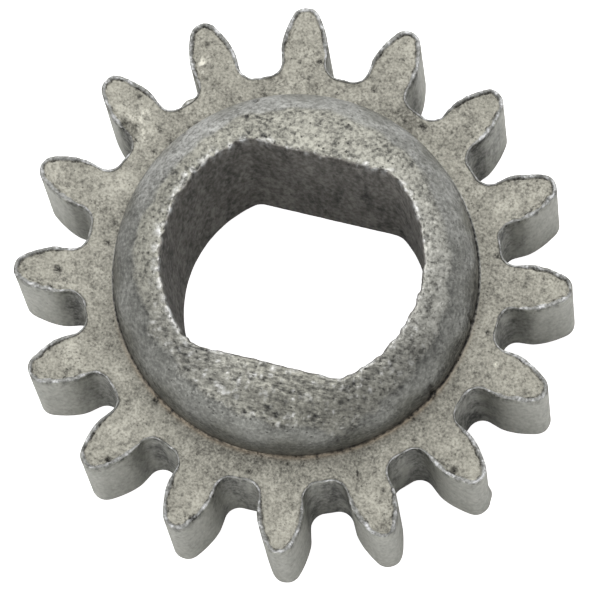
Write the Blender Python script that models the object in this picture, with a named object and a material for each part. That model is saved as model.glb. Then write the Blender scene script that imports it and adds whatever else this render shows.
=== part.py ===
# Sintered spur gear with sixteen teeth, a domed hub and a double-D bore.
# One solid. Lengths are in metres, +Z runs along the bore from the flat back to the hub.
# The bore's two drive flats are parallel to X, and a tooth space lies on each of the axes X and Y.

import math

import bmesh
import bpy
import numpy as np

MM = 0.001

# Driving dimensions of the teeth
TOOTH_COUNT = 16
OUTSIDE_DIAMETER = 32.66 * MM
PRESSURE_ANGLE = math.radians(17.5)
WHOLE_DEPTH_IN_MODULES = 2.23
TOOTH_THICKNESS_SHARE = 0.455
ROOT_FILLET = 0.90 * MM
TIP_ROUNDING = 0.48 * MM
FACE_WIDTH = 9.37 * MM

# Raised rim that the punch left round the toothed face
RIM_LAND = 0.17 * MM
RIM_BEVEL = 0.15 * MM
RIM_HEIGHT = 0.13 * MM

# Small break of the edge round the back
BACK_BREAK = 0.12 * MM

# Hub: a short upright wall that runs over into a dome, drawn as a squared-off quarter ellipse
HUB_WALL_RADIUS = 10.62 * MM
HUB_WALL_HEIGHT = 0.45 * MM
HUB_BASE_FILLET = 0.16 * MM
HUB_CROWN_RADIUS = 6.2 * MM
HUB_FULL_HEIGHT = 14.16 * MM
HUB_SQUARENESS = 2.4

# Double-D bore, which narrows a little from the hub to the back
BORE_RADIUS_BACK = 7.16 * MM
BORE_RADIUS_HUB = 7.60 * MM
FLAT_DISTANCE_BACK = 5.82 * MM
FLAT_DISTANCE_HUB = 6.26 * MM

# Finished metal
METAL_COLOUR = (0.36, 0.35, 0.315, 1.0)
METAL_ROUGHNESS = 0.55
METAL_METALLIC = 0.8
SHARP_EDGE_ANGLE = math.radians(30)

# Worked out from the driving dimensions
MODULE = OUTSIDE_DIAMETER / (TOOTH_COUNT + 2)
TIP_RADIUS = OUTSIDE_DIAMETER / 2
PITCH_RADIUS = MODULE * TOOTH_COUNT / 2
BASE_RADIUS = PITCH_RADIUS * math.cos(PRESSURE_ANGLE)
ROOT_RADIUS = TIP_RADIUS - WHOLE_DEPTH_IN_MODULES * MODULE
PITCH_ANGLE = 2 * math.pi / TOOTH_COUNT
FIRST_TOOTH_TURN = PITCH_ANGLE / 2
FACE_LEVEL = FACE_WIDTH - RIM_HEIGHT
DOME_START = FACE_LEVEL + HUB_BASE_FILLET + HUB_WALL_HEIGHT

# Fineness of the curves
FILLET_STEPS = 6
INVOLUTE_STEPS = 6
INVOLUTE_CROWDING = 1.4
CORNER_STEPS = 4
ROOT_STEPS = 2
HUB_FILLET_STEPS = 2
ARC_STEPS = 24
FLAT_STEPS = 14
DOME_STEPS = 11
DOME_SHARE = 0.8
MOUTH_PASSES = 4


def clear_scene():
    for item in list(bpy.data.objects):
        bpy.data.objects.remove(item, do_unlink=True)


def involute(angle):
    """The roll angle's involute function."""
    return math.tan(angle) - angle


def half_tooth_angle(radius):
    """Half the angle that a tooth takes up at a radius, straight and radial below the base circle."""
    at_pitch = TOOTH_THICKNESS_SHARE * PITCH_ANGLE / 2
    at_base = at_pitch + involute(PRESSURE_ANGLE)
    if radius <= BASE_RADIUS:
        return at_base
    return at_base - involute(math.acos(BASE_RADIUS / radius))


def polar(radius, angle):
    return np.array([radius * math.cos(angle), radius * math.sin(angle)])


def half_tooth():
    """Points from the middle of a tooth space, at half a pitch, up to the edge of the tip land."""
    points = []
    flank_angle = half_tooth_angle(ROOT_RADIUS)

    # The fillet touches the root circle and the radial part of the flank
    centre_radius = ROOT_RADIUS + ROOT_FILLET
    centre_angle = flank_angle + math.asin(ROOT_FILLET / centre_radius)
    centre = polar(centre_radius, centre_angle)
    for step in range(ROOT_STEPS):
        share = step / ROOT_STEPS
        points.append(polar(ROOT_RADIUS, PITCH_ANGLE / 2 + (centre_angle - PITCH_ANGLE / 2) * share))
    start = centre_angle + math.pi
    end = flank_angle - math.pi / 2 + 2 * math.pi
    for step in range(FILLET_STEPS + 1):
        turn = start + (end - start) * step / FILLET_STEPS
        points.append(centre + polar(ROOT_FILLET, turn))

    # The involute flank, closer together near the base circle where it bends most
    corner_radius = TIP_RADIUS - TIP_ROUNDING
    for step in range(INVOLUTE_STEPS + 1):
        share = (step / INVOLUTE_STEPS) ** INVOLUTE_CROWDING
        radius = BASE_RADIUS + (corner_radius - BASE_RADIUS) * share
        points.append(polar(radius, half_tooth_angle(radius)))

    # The rounded corner, a curve drawn towards the point where flank and tip circle would meet
    before = points[-1]
    corner = polar(TIP_RADIUS, half_tooth_angle(TIP_RADIUS))
    after = polar(TIP_RADIUS, half_tooth_angle(TIP_RADIUS) - TIP_ROUNDING / TIP_RADIUS)
    for step in range(1, CORNER_STEPS + 1):
        share = step / CORNER_STEPS
        points.append(before * (1 - share) ** 2 + corner * 2 * share * (1 - share) + after * share ** 2)
    return np.array(points)


def gear_outline():
    """The whole outline, running anticlockwise."""
    rising = half_tooth() * np.array([1.0, -1.0])
    falling = half_tooth()[::-1][:-1]
    tooth = np.concatenate([rising, falling])
    around = []
    for number in range(TOOTH_COUNT):
        turn = FIRST_TOOTH_TURN + number * PITCH_ANGLE
        spin = np.array([[math.cos(turn), math.sin(turn)], [-math.sin(turn), math.cos(turn)]])
        around.append(tooth @ spin)
    return np.concatenate(around)


def inset(outline, distance):
    """The outline moved into the metal by a distance, along each point's own normal."""
    ahead = np.roll(outline, -1, axis=0) - outline
    behind = outline - np.roll(outline, 1, axis=0)
    ahead = ahead / np.linalg.norm(ahead, axis=1)[:, None]
    behind = behind / np.linalg.norm(behind, axis=1)[:, None]
    along = ahead + behind
    along = along / np.linalg.norm(along, axis=1)[:, None]
    inward = np.stack([-along[:, 1], along[:, 0]], axis=1)
    return outline + inward * distance


def dome_point(share):
    """Radius and height on the dome, from the top of the wall at 0 to the crown at 1."""
    turn = share * math.pi / 2
    power = 2 / HUB_SQUARENESS
    radius = HUB_CROWN_RADIUS + (HUB_WALL_RADIUS - HUB_CROWN_RADIUS) * math.cos(turn) ** power
    height = DOME_START + (HUB_FULL_HEIGHT - DOME_START) * math.sin(turn) ** power
    return radius, height


def dome_height(radius):
    """Height of the dome at a radius, level inside the crown radius."""
    share = np.clip((radius - HUB_CROWN_RADIUS) / (HUB_WALL_RADIUS - HUB_CROWN_RADIUS), 0.0, 1.0)
    rise = (1 - share ** HUB_SQUARENESS) ** (1 / HUB_SQUARENESS)
    return DOME_START + (HUB_FULL_HEIGHT - DOME_START) * rise


def hub_wall():
    """Radius and height pairs up the fillet between the toothed face and the hub's wall."""
    pairs = []
    for step in range(HUB_FILLET_STEPS + 1):
        turn = step / HUB_FILLET_STEPS * math.pi / 2
        radius = HUB_WALL_RADIUS + HUB_BASE_FILLET * (1 - math.sin(turn))
        pairs.append((radius, FACE_LEVEL + HUB_BASE_FILLET * (1 - math.cos(turn))))
    return pairs


def bore_outline(radius, flat_distance):
    """The double-D outline, anticlockwise from the end of the lower flat, with flats parallel to X."""
    half_arc = math.asin(flat_distance / radius)
    flat_end = radius * math.cos(half_arc)
    points = []
    for side in (1, -1):
        for step in range(ARC_STEPS):
            turn = -half_arc + 2 * half_arc * step / ARC_STEPS
            points.append((side * radius * math.cos(turn), side * radius * math.sin(turn)))
        for step in range(FLAT_STEPS):
            along = flat_end * (1 - 2 * step / FLAT_STEPS)
            points.append((side * along, side * flat_distance))
    return np.array(points)


def bore_mouth():
    """The bore's edge where its tapered walls meet the crowned top of the hub."""
    heights = np.full(2 * (ARC_STEPS + FLAT_STEPS), HUB_FULL_HEIGHT)
    for _ in range(MOUTH_PASSES):
        share = (heights / HUB_FULL_HEIGHT)[:, None]
        back = bore_outline(BORE_RADIUS_BACK, FLAT_DISTANCE_BACK)
        front = bore_outline(BORE_RADIUS_HUB, FLAT_DISTANCE_HUB)
        points = back + (front - back) * share
        heights = dome_height(np.linalg.norm(points, axis=1))
    return np.concatenate([points, heights[:, None]], axis=1)


def add_ring(mesh, points, heights):
    heights = np.broadcast_to(heights, len(points))
    return [mesh.verts.new((x, y, z)) for (x, y), z in zip(points, heights)]


def skin(mesh, lower, upper):
    """Quads between two rings of the same length, facing away from the metal for a rising outer wall."""
    count = len(lower)
    for index in range(count):
        after = (index + 1) % count
        mesh.faces.new((lower[index], lower[after], upper[after], upper[index]))


def ring_edges(mesh, ring):
    return [mesh.edges.get((ring[index - 1], vertex)) for index, vertex in enumerate(ring)]


def fill_between(mesh, outer, inner):
    """Flat triangles over the plane between an outer and an inner ring."""
    edges = ring_edges(mesh, outer) + ring_edges(mesh, inner)
    bmesh.ops.triangle_fill(mesh, use_beauty=True, use_dissolve=False, edges=edges)


def build_gear():
    mesh = bmesh.new()
    outline = gear_outline()

    # Toothed rim: back edge, flanks, raised rim and the step down to the toothed face
    back_ring = add_ring(mesh, inset(outline, BACK_BREAK), 0.0)
    flank_low = add_ring(mesh, outline, BACK_BREAK)
    flank_high = add_ring(mesh, outline, FACE_WIDTH)
    land_ring = add_ring(mesh, inset(outline, RIM_LAND), FACE_WIDTH)
    face_ring = add_ring(mesh, inset(outline, RIM_LAND + RIM_BEVEL), FACE_LEVEL)
    skin(mesh, back_ring, flank_low)
    skin(mesh, flank_low, flank_high)
    skin(mesh, flank_high, land_ring)
    skin(mesh, land_ring, face_ring)

    # Hub: its dome is spaced by the dome's own curve and runs in to the edge of the bore
    mouth = bore_mouth()
    angles = np.arctan2(mouth[:, 1], mouth[:, 0])
    directions = np.stack([np.cos(angles), np.sin(angles)], axis=1)
    mouth_radii = np.linalg.norm(mouth[:, :2], axis=1)
    hub_rings = [add_ring(mesh, directions * radius, height) for radius, height in hub_wall()]
    for step in range(DOME_STEPS):
        level = dome_point(DOME_SHARE * step / DOME_STEPS)[0]
        share = (HUB_WALL_RADIUS - level) / (HUB_WALL_RADIUS - dome_point(DOME_SHARE)[0])
        radii = HUB_WALL_RADIUS + (mouth_radii - HUB_WALL_RADIUS) * share
        hub_rings.append(add_ring(mesh, directions * radii[:, None], dome_height(radii)))
    hub_rings.append(add_ring(mesh, mouth[:, :2], mouth[:, 2]))
    for lower, upper in zip(hub_rings, hub_rings[1:]):
        skin(mesh, lower, upper)

    # Bore, down to its edge in the flat back
    bore_back = add_ring(mesh, bore_outline(BORE_RADIUS_BACK, FLAT_DISTANCE_BACK), 0.0)
    skin(mesh, hub_rings[-1], bore_back)

    fill_between(mesh, face_ring, hub_rings[0])
    fill_between(mesh, back_ring, bore_back)
    bmesh.ops.recalc_face_normals(mesh, faces=mesh.faces)

    data = bpy.data.meshes.new("spur_gear")
    mesh.to_mesh(data)
    mesh.free()
    return data


def metal_material():
    material = bpy.data.materials.new("sintered_iron")
    material.use_nodes = True
    shader = material.node_tree.nodes["Principled BSDF"]
    shader.inputs["Base Color"].default_value = METAL_COLOUR
    shader.inputs["Roughness"].default_value = METAL_ROUGHNESS
    shader.inputs["Metallic"].default_value = METAL_METALLIC
    material.diffuse_color = METAL_COLOUR
    return material


def main():
    clear_scene()
    data = build_gear()
    data.materials.append(metal_material())
    data.shade_smooth()
    data.set_sharp_from_angle(angle=SHARP_EDGE_ANGLE)
    gear = bpy.data.objects.new("spur_gear", data)
    bpy.context.scene.collection.objects.link(gear)


main()
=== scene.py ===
# Sintered spur gear on a pale sheet: sixteen teeth, a domed hub and a double-D bore.
# Lengths are in metres. The bore runs along Z and the flat back rests on the sheet.

import math
from types import SimpleNamespace

import bpy
import numpy as np
from mathutils import Euler, Matrix, Vector


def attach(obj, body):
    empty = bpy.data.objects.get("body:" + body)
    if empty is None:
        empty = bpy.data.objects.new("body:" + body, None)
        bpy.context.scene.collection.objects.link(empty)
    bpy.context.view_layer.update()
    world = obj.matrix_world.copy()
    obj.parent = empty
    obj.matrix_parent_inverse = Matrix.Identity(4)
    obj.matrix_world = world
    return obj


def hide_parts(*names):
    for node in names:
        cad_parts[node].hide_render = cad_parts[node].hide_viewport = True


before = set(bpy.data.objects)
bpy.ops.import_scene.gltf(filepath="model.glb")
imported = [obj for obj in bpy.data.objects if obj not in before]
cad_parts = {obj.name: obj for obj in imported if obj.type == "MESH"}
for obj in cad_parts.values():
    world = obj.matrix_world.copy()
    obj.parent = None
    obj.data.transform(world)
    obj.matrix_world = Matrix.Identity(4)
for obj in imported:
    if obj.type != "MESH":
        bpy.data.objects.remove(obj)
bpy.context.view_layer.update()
mm = 0.001
print("packed gear loaded")

# the camera of the photo, fitted to the outline of the teeth
photoView = {
    "right": (0.96871, 0.24387, -0.0461),  # the picture's three directions, in the gear's own axes
    "up": (-0.22885, 0.94957, 0.21435),
    "towards": (0.09605, -0.19709, 0.97567),
    "place": (0.04455, -0.08831, 0.42869),
    "lens": 451.12,
    "sensorWidth": 36,
    "shift": (-0.0623, 0.0927),
    "nearest": 0.01,
}


def newObject(name, data):
    item = bpy.data.objects.new(name, data)
    bpy.context.scene.collection.objects.link(item)
    return item


def placeCamera(settings):
    lens = bpy.data.cameras.new("photoCamera")
    lens.lens = settings["lens"]
    lens.sensor_width = settings["sensorWidth"]
    lens.sensor_fit = "HORIZONTAL"
    lens.clip_start = settings["nearest"]
    lens.shift_x, lens.shift_y = settings["shift"]
    camera = newObject("photoCamera", lens)
    turn = Matrix([settings["right"], settings["up"], settings["towards"]]).transposed().to_4x4()
    camera.matrix_world = Matrix.Translation(settings["place"]) @ turn
    bpy.context.scene.camera = camera


placeCamera(photoView)
print("camera placed")


# Repeatable noise, worked out on whole arrays of points.
# The large odd numbers below spread neighbouring cells and seeds far apart.
spreaders = {"x": 374761393, "y": 668265263, "z": 2246822519, "seed": 3266489917,
             "first": 1274126177, "second": 2654435769}
wordSize = 2 ** 32


def cellNumber(cell, seed):
    # one number from 0 to 1 for each whole-number cell: its three counts are multiplied, mixed and folded
    counts = (cell.astype(np.int64) & (wordSize - 1)).astype(np.uint32)
    mixed = counts[..., 0] * np.uint32(spreaders["x"]) + counts[..., 1] * np.uint32(spreaders["y"])
    mixed = mixed + counts[..., 2] * np.uint32(spreaders["z"])
    mixed = mixed + np.uint32(seed * spreaders["seed"] % wordSize)
    mixed = (mixed ^ (mixed >> np.uint32(13))) * np.uint32(spreaders["first"])
    mixed = (mixed ^ (mixed >> np.uint32(16))) * np.uint32(spreaders["second"])
    mixed = mixed ^ (mixed >> np.uint32(15))
    return mixed / float(wordSize)


# the noise is turned so that no row of its cells lies along a straight edge
noiseTurn = np.array(Euler((0.5, 0.35, 0.8)).to_matrix())
pitRadius = (0.30, 0.75)  # smallest and largest, in cells


def softNoise(points, size, seed):
    # the eight corner numbers of a point's cell, blended by the smooth curve 3t^2 - 2t^3, from -1 to 1
    place = points @ noiseTurn / size
    cell = np.floor(place)
    share = place - cell
    share = share * share * (3 - 2 * share)
    total = np.zeros(points.shape[:-1])
    for corner in np.ndindex(2, 2, 2):
        step = np.array(corner)
        weight = np.prod(np.where(step == 1, share, 1 - share), axis=-1)
        total += weight * cellNumber(cell + step, seed)
    return total * 2 - 1


def layeredNoise(points, size, layers, seed):
    # layers of soft noise, each half the size and half the height of the one before
    total = np.zeros(points.shape[:-1])
    for layer in range(layers):
        total += softNoise(points, size / 2 ** layer, seed + layer) / 2 ** layer
    return total


def pits(points, size, share, seed):
    # round hollows, at most one in a cell: depth is 1 at its middle and falls as (1 - d^2/r^2)^2
    place = points / size
    cell = np.floor(place)
    depth = np.zeros(points.shape[:-1])
    for corner in np.ndindex(3, 3, 3):
        near = cell + np.array(corner) - 1
        middle = near + np.stack([cellNumber(near, seed + axis) for axis in range(3)], axis=-1)
        radius = between(pitRadius, cellNumber(near, seed + 3))
        there = cellNumber(near, seed + 4) < share
        apart = np.sum((place - middle) ** 2, axis=-1) / radius ** 2
        depth = np.maximum(depth, there * np.clip(1 - apart, 0, 1) ** 2 * radius / pitRadius[1])
    return depth


def smoothStep(low, high, value):
    share = np.clip((value - low) / (high - low), 0, 1)
    return share * share * (3 - 2 * share)


def between(pair, share):
    return pair[0] + (pair[1] - pair[0]) * share


def shares(edges):
    return np.linspace(0, 1, edges + 1)


def bell(value, middle, width):
    # 1 at the middle, falling as exp(-(distance/width)^2)
    return np.exp(-((value - middle) / width) ** 2)


# the random patterns of the gear: size of the largest bumps, number of layers, and seed
noises = {
    "rimInner": (0.34 * mm, 2, 61), "rimOuter": (0.30 * mm, 2, 81), "rimChips": (0.40 * mm, 2, 71),
    "rimBevel": (0.45 * mm, 2, 68), "rimGroove": (0.40 * mm, 2, 65), "rimCorner": (0.36 * mm, 2, 75),
    "rimShade": (0.40 * mm, 2, 101), "rimDull": (0.30 * mm, 2, 103), "rimWearAndGlints": (0.25 * mm, 2, 121),
    "rimFlakes": (0.21 * mm, 1, 19), "mouth": (0.42 * mm, 2, 91), "border": (1.3 * mm, 2, 51),
    "grain": (0.34 * mm, 2, 11), "coarse": (0.60 * mm, 2, 15), "beads": (0.26 * mm, 2, 23),
    "flow": (0.24 * mm, 2, 95), "glints": (0.22 * mm, 1, 131), "wallGrain": (0.50 * mm, 2, 17),
    "boreStains": (0.8 * mm, 3, 161), "rootStainsAndShade": (0.7 * mm, 3, 111), "faceWaves": (2.2 * mm, 1, 21),
    "faceClouds": (1.4 * mm, 2, 141), "faceShine": (1.0 * mm, 2, 151),
}
# open pits: size of a cell, share of the cells that have one, and seed
pitFields = {
    "crown": (0.55 * mm, 0.30, 31), "wall": (0.50 * mm, 0.35, 33),
    "small": (0.30 * mm, 0.30, 41), "face": (0.42 * mm, 0.16, 36),
}


def noiseAt(points, name):
    return layeredNoise(points, *noises[name])


def cloudy(noise, setting):
    # patches from a base strength, the noise's contrast and an upper limit
    base, contrast, most = setting
    return np.clip(base + contrast * noise, 0, most)


gear = {
    "teeth": 16,
    "outsideRadius": 16.33 * mm,
    "pressureAngle": math.radians(17.5),
    "wholeDepth": 2.23,  # in modules
    "toothShare": 0.455,  # of the pitch, at the pitch circle
    "rootFillet": 0.90 * mm,
    "tipRounding": 0.48 * mm,
    "faceWidth": 9.37 * mm,
    "rimHeight": 0.13 * mm,
    "backBreak": 0.12 * mm,
    "hubPlace": (0.18 * mm, 0.135 * mm),  # hub and bore stand a little off the middle of the teeth
    "wallRadius": 10.62 * mm,
    "wallHeight": 0.45 * mm,
    "wallFillet": 0.16 * mm,
    "crownRadius": 6.2 * mm,
    "fullHeight": 14.10 * mm,
    "squareness": 2.4,
    "boreRadius": (7.16 * mm, 7.60 * mm),  # at the back and at the top of the hub
    "flatDistance": (5.82 * mm, 6.26 * mm),
    "boreCorner": 0.24 * mm,
    "lipRounding": 0.10 * mm,
    "wideSide": 0.30 * mm,  # the back of the bore is this much wider on its +X side
    "wideReach": (0.3, 0.8),  # cosines between which that grows
    "raggedLip": 0.09 * mm,  # how far the mouth of the bore wanders
    "calmLip": (0.65, -77.0),  # share by which that is less at the near flat, and its direction in degrees
    "calmReach": (0.70, 0.90),  # cosines between which that share grows
    "lipFade": 6,  # power by which the mouth's raggedness fades down the bore
    "footBow": 0.30 * mm,  # the foot line of each tooth bows on the back, so no triangle there is flat
}

fineness = {
    "root": 11,  # edges from the middle of a tooth space to the foot of a flank
    "flank": 36,
    "tip": 20,
    "flankRows": 8, "flankCrowding": 0.90,  # a power below 1 crowds the rows towards their last edge
    "faceRows": 12,
    "wallRows": 3,
    "domeRows": 40, "domeCrowding": 0.92,
    "boreRows": 17, "boreCrowding": 0.93,
    "backRows": 3,
    "filletRows": 3,
    "lipShares": (0.35, 0.75),  # of the quarter turn over the lip
}

# the rim that the punch left round the toothed face; pairs are for edges near the viewer and for far ones
rim = {
    "farSide": (-0.35, 0.75),  # cosines between which the one turns into the other
    "land": (0.13 * mm, 0.14 * mm),  # flat top
    "bevel": (0.22 * mm, 0.17 * mm),  # slope from there down to the face
    "bevelVaries": 0.40,
    "groove": 0.04 * mm,  # at the foot of the slope
    "grooveBase": 0.7,
    "innerWander": 0.07 * mm, "innerCalm": (1.0, 0.5),
    "outerWander": 0.035 * mm, "outerBase": 0.5,
    "chips": (0.15, 0.18 * mm),  # noise below minus this chips the edge, and how deep
    "flankTop": 0.07 * mm,  # the flank's rows are spread up to this far below the top
    "corner": (0.09 * mm, 0.06 * mm),  # and the last one lies this far below it, with how much that varies
    "fade": (0.4 * mm, 2.2 * mm),  # it grows to full size between these distances from the root circle
    "inSpaces": 0.35,  # share of it that is left in the tooth spaces
    "landInSpaces": 0.45,
    "sunkInSpaces": 0.7,
    "bevelShade": ((0.32, 0.85), (2.4, 1.0)),  # base and contrast of the painted shade in the rim's crevice and on its bevel, each near and far
    "bevelShadeInSpaces": 0.4,
    "dull": (0.38, 1.1, 0.8), "dullCalm": (1.0, 0.75),
}

gearModule = 2 * gear["outsideRadius"] / (gear["teeth"] + 2)
pitchRadius = gearModule * gear["teeth"] / 2
baseRadius = pitchRadius * math.cos(gear["pressureAngle"])
rootRadius = gear["outsideRadius"] - gear["wholeDepth"] * gearModule
pitchAngle = 2 * math.pi / gear["teeth"]
faceLevel = gear["faceWidth"] - gear["rimHeight"]
hubMiddle = complex(*gear["hubPlace"])
nearSide = (0.229, -0.973)  # the way from the gear to the viewer


def halfToothAngle(radius):
    # half the angle of a tooth at a radius: involute above the base circle, a straight radial line below
    atBase = gear["toothShare"] * pitchAngle / 2 + math.tan(gear["pressureAngle"]) - gear["pressureAngle"]
    roll = np.arccos(np.minimum(baseRadius / radius, 1))
    return atBase - (np.tan(roll) - roll)


def spread(path, edges):
    # the same path with its points evenly spaced along its length
    length = np.concatenate([[0], np.cumsum(np.abs(np.diff(path)))])
    places = np.linspace(0, length[-1], edges + 1)
    return np.interp(places, length, path.real) + 1j * np.interp(places, length, path.imag)


def halfTooth():
    # half a tooth as x + iy, tooth on the X axis: root arc, fillet, involute, corner and tip arc
    share = np.linspace(0, 1, 200)
    tip = gear["outsideRadius"]
    fillet = gear["rootFillet"]
    flankAngle = float(halfToothAngle(rootRadius))
    middleRadius = rootRadius + fillet
    middleAngle = flankAngle + math.asin(fillet / middleRadius)
    root = rootRadius * np.exp(1j * (pitchAngle / 2 + (middleAngle - pitchAngle / 2) * share))
    turn = middleAngle + math.pi + (flankAngle - middleAngle + math.pi / 2) * share
    curve = middleRadius * np.exp(1j * middleAngle) + fillet * np.exp(1j * turn)
    radius = np.abs(curve[-1]) + (tip - gear["tipRounding"] - np.abs(curve[-1])) * share
    flank = radius * np.exp(1j * halfToothAngle(radius))
    tipAngle = float(halfToothAngle(tip))
    corner = tip * np.exp(1j * tipAngle)
    landAngle = tipAngle - gear["tipRounding"] / tip
    land = tip * np.exp(1j * landAngle)
    rounding = flank[-1] * (1 - share) ** 2 + corner * 2 * share * (1 - share) + land * share ** 2
    crest = tip * np.exp(1j * landAngle * (1 - share))
    foot = spread(np.concatenate([root, curve[1:]]), fineness["root"])
    side = spread(flank, fineness["flank"])
    top = spread(np.concatenate([rounding, crest[1:]]), fineness["tip"] // 2)
    return np.concatenate([foot, side[1:], top[1:]])


def toothedRing():
    # one row of points for each tooth, anticlockwise from the middle of the space before it
    half = halfTooth()
    tooth = np.concatenate([half.conj(), half[::-1][1:-1]])
    turns = (np.arange(gear["teeth"]) + 0.5) * pitchAngle
    return tooth[None, :] * np.exp(1j * turns)[:, None]


def inset(ring, distance):
    # the ring moved into the metal along each point's own normal
    line = ring.ravel()
    ahead = np.roll(line, -1) - line
    behind = line - np.roll(line, 1)
    along = ahead / np.abs(ahead) + behind / np.abs(behind)
    inward = 1j * along / np.abs(along)
    return (line + inward * np.broadcast_to(distance, ring.shape).ravel()).reshape(ring.shape)


def softened(line, passes):
    # each point moves halfway to the middle of its neighbours
    for _ in range(passes):
        flat = line.ravel()
        line = (flat / 2 + (np.roll(flat, 1) + np.roll(flat, -1)) / 4).reshape(line.shape)
    return line


def doubleD(angle, radius, flat, rounding):
    # distance from the bore's middle: the nearer of arc and flat, blended over the rounding at the corner
    steepest = 0.05  # keeps the flat's distance finite where it runs away from the middle
    toFlat = flat / np.maximum(np.abs(np.sin(angle)), steepest)
    gap = np.clip(0.5 + (toFlat - radius) / (2 * rounding), 0, 1)
    return toFlat * (1 - gap) + radius * gap - rounding * gap * (1 - gap)


zones = {"face": 0, "crevice": 1, "rim": 2, "flank": 3, "hub": 4, "bore": 5, "back": 6}


class PointStore:
    # keeps every point of the gear once, with the zone that it belongs to and how dark it is: dirt on the
    # rim's edge, and painted shade in its crevice
    def __init__(self):
        self.places = []
        self.zones = []
        self.stains = []
        self.count = 0

    def keep(self, flat, height, zone, rimDirtAndShade=0.0):
        place = np.stack(np.broadcast_arrays(flat.real, flat.imag, height), axis=-1)
        numbers = self.count + np.arange(place[..., 0].size).reshape(place.shape[:-1])
        self.places.append(place.reshape(-1, 3))
        self.zones.append(np.full(place[..., 0].size, zones[zone]))
        self.stains.append(np.broadcast_to(rimDirtAndShade, place.shape[:-1]).ravel())
        self.count += place[..., 0].size
        return numbers


def closedQuads(rows):
    # four-sided faces between rings of numbers, joined round at the end
    after = np.roll(rows, -1, axis=1)
    return np.stack([rows[:-1], after[:-1], after[1:], rows[1:]], axis=-1).reshape(-1, 4)


def openQuads(grid):
    low, high = grid[..., :-1, :], grid[..., 1:, :]
    return np.stack([low[..., :-1], low[..., 1:], high[..., 1:], high[..., :-1]], axis=-1).reshape(-1, 4)


def hubDome(share, mouth):
    # radius and height from the wall's top at 0 to the mouth at 1: a quarter ellipse with squared shoulders,
    # radius = crown + reach * cos(t)^(2/n), height = start + rise * sin(t)^(2/n)
    power = 2 / gear["squareness"]
    start = faceLevel + gear["wallFillet"] + gear["wallHeight"]
    reach = gear["wallRadius"] - gear["crownRadius"]
    inside = np.clip((mouth - gear["crownRadius"]) / reach, 0.001, 1)  # the turn stays below a quarter
    turn = np.arccos(inside ** (1 / power)) * share
    radius = gear["crownRadius"] + reach * np.cos(turn) ** power
    height = start + (gear["fullHeight"] - start) * np.sin(turn) ** power
    return radius, height


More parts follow.
